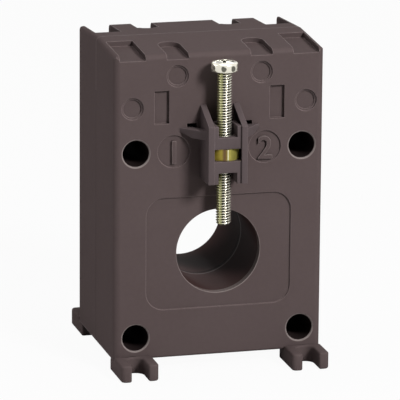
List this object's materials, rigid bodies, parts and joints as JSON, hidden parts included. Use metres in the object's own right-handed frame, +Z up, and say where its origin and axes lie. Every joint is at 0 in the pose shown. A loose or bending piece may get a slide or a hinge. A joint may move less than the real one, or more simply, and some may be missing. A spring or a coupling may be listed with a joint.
{
  "type": "window-type current transformer",
  "caption": "Window-type current transformer: moulded case round a through bore, clip-on slotted feet, a locking screw in a nut bracket, and screw terminals in top channels.",
  "frame": {"origin": "on the axis of the primary bore, at the middle of its length", "axes": "+X to the right seen from the front, +Y along the bore to the rear where the terminals are, +Z up through the locking screw side"},
  "size_m": [0.056, 0.0576, 0.0857],
  "materials": {
    "case_plastic": "fine-grained moulded polycarbonate, warm dark grey, satin",
    "screw_zinc": "pale yellow passivated zinc plating on steel",
    "nut_zinc": "yellow passivated zinc plating on steel",
    "terminal_zinc": "bright zinc plating on steel",
    "terminal_brass": "stamped brass strip",
    "core_steel": "wound silicon steel strip",
    "cap_plastic": "natural moulded nylon",
    "winding_copper": "enamelled copper wire",
    "tape_film": "polyester film tape",
    "pad_rubber": "soft closed-cell rubber",
    "sleeve_braid": "varnished glass-fibre sleeving"
  },
  "bodies": {
    "case": {"front_shell": "case_plastic", "rear_shell": "case_plastic", "foot_front_left": "case_plastic", "foot_front_right": "case_plastic", "foot_rear_left": "case_plastic", "foot_rear_right": "case_plastic", "screw_bracket": "case_plastic", "lock_nut": "nut_zinc", "core": "core_steel", "core_cap_front": "cap_plastic", "core_cap_rear": "cap_plastic", "secondary_winding": "winding_copper", "winding_tape": "tape_film", "pad_front": "pad_rubber", "pad_rear": "pad_rubber", "lead_sleeve_left": "sleeve_braid", "lead_sleeve_right": "sleeve_braid", "terminal_plate_left": "terminal_brass", "terminal_plate_right": "terminal_brass"},
    "locking_screw": {"locking_screw": "screw_zinc"},
    "terminal_left_outer": {"terminal_screw_left_outer": "terminal_zinc", "clamp_washer_left_outer": "terminal_zinc"},
    "terminal_left_inner": {"terminal_screw_left_inner": "terminal_zinc", "clamp_washer_left_inner": "terminal_zinc"},
    "terminal_right_inner": {"terminal_screw_right_inner": "terminal_zinc", "clamp_washer_right_inner": "terminal_zinc"},
    "terminal_right_outer": {"terminal_screw_right_outer": "terminal_zinc", "clamp_washer_right_outer": "terminal_zinc"}
  },
  "joints": [
    {"name": "locking_screw_travel", "type": "slide", "parent": "case", "child": "locking_screw", "axis": [0, 0, 1], "range_m": [-0.008, 0.012]},
    {"name": "terminal_left_outer_travel", "type": "slide", "parent": "case", "child": "terminal_left_outer", "axis": [0, 1, 0], "range_m": [0, 0.003]},
    {"name": "terminal_left_inner_travel", "type": "slide", "parent": "case", "child": "terminal_left_inner", "axis": [0, 1, 0], "range_m": [0, 0.003]},
    {"name": "terminal_right_inner_travel", "type": "slide", "parent": "case", "child": "terminal_right_inner", "axis": [0, 1, 0], "range_m": [0, 0.003]},
    {"name": "terminal_right_outer_travel", "type": "slide", "parent": "case", "child": "terminal_right_outer", "axis": [0, 1, 0], "range_m": [0, 0.003]}
  ]
}
